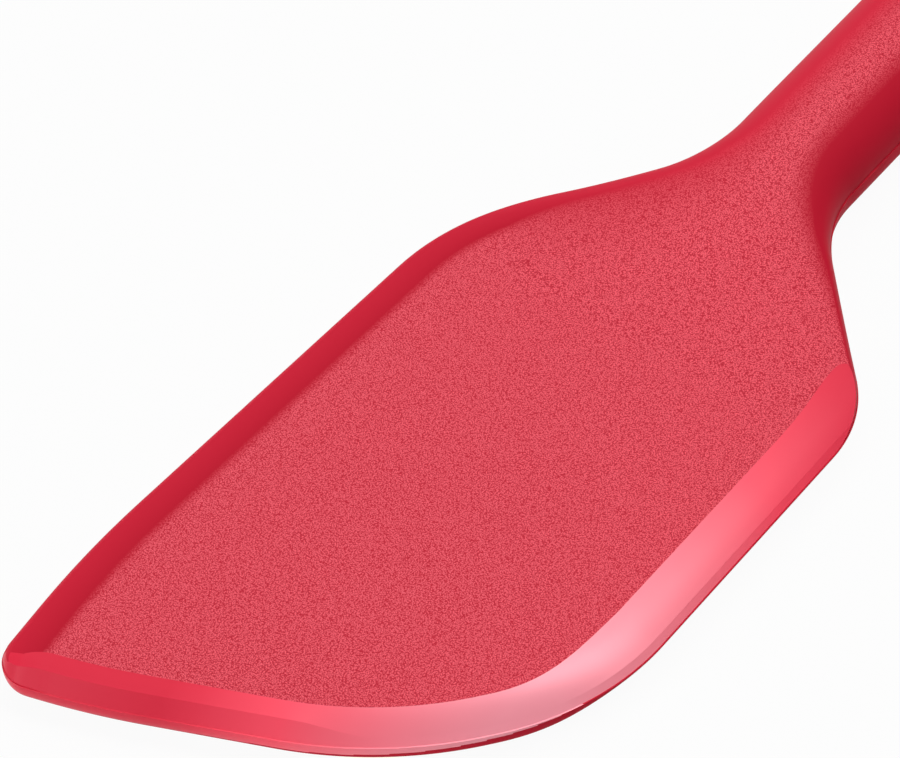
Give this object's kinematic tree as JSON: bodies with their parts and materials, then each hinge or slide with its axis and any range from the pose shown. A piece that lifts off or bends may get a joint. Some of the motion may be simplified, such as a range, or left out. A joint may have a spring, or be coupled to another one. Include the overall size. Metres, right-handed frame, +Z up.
{
  "type": "spatula",
  "caption": "Flexible silicone spatula with a wide, slant-tipped blade, a polished bevelled lip and a long oval handle with a hang hole.",
  "frame": {"origin": "under the middle of the whole part, at the height of its lowest point, the heel of the handle", "axes": "+Y along the handle away from the blade, +X to the blade's right with the stippled face up, +Z up out of the stippled face"},
  "size_m": [0.064, 0.2948, 0.018],
  "materials": {
    "silicone_stippled": "fine stipple, satin",
    "silicone_smooth": "smooth, semi-gloss",
    "spring_steel": "rolled",
    "nylon": "glass-filled, matt",
    "rivet_steel": "plain"
  },
  "bodies": {
    "root": {"upper_cover": "silicone_stippled", "lower_cover": "silicone_smooth", "blade_core": "spring_steel", "handle_core": "nylon", "core_rivet_front": "rivet_steel", "core_rivet_rear": "rivet_steel"}
  },
  "joints": []
}
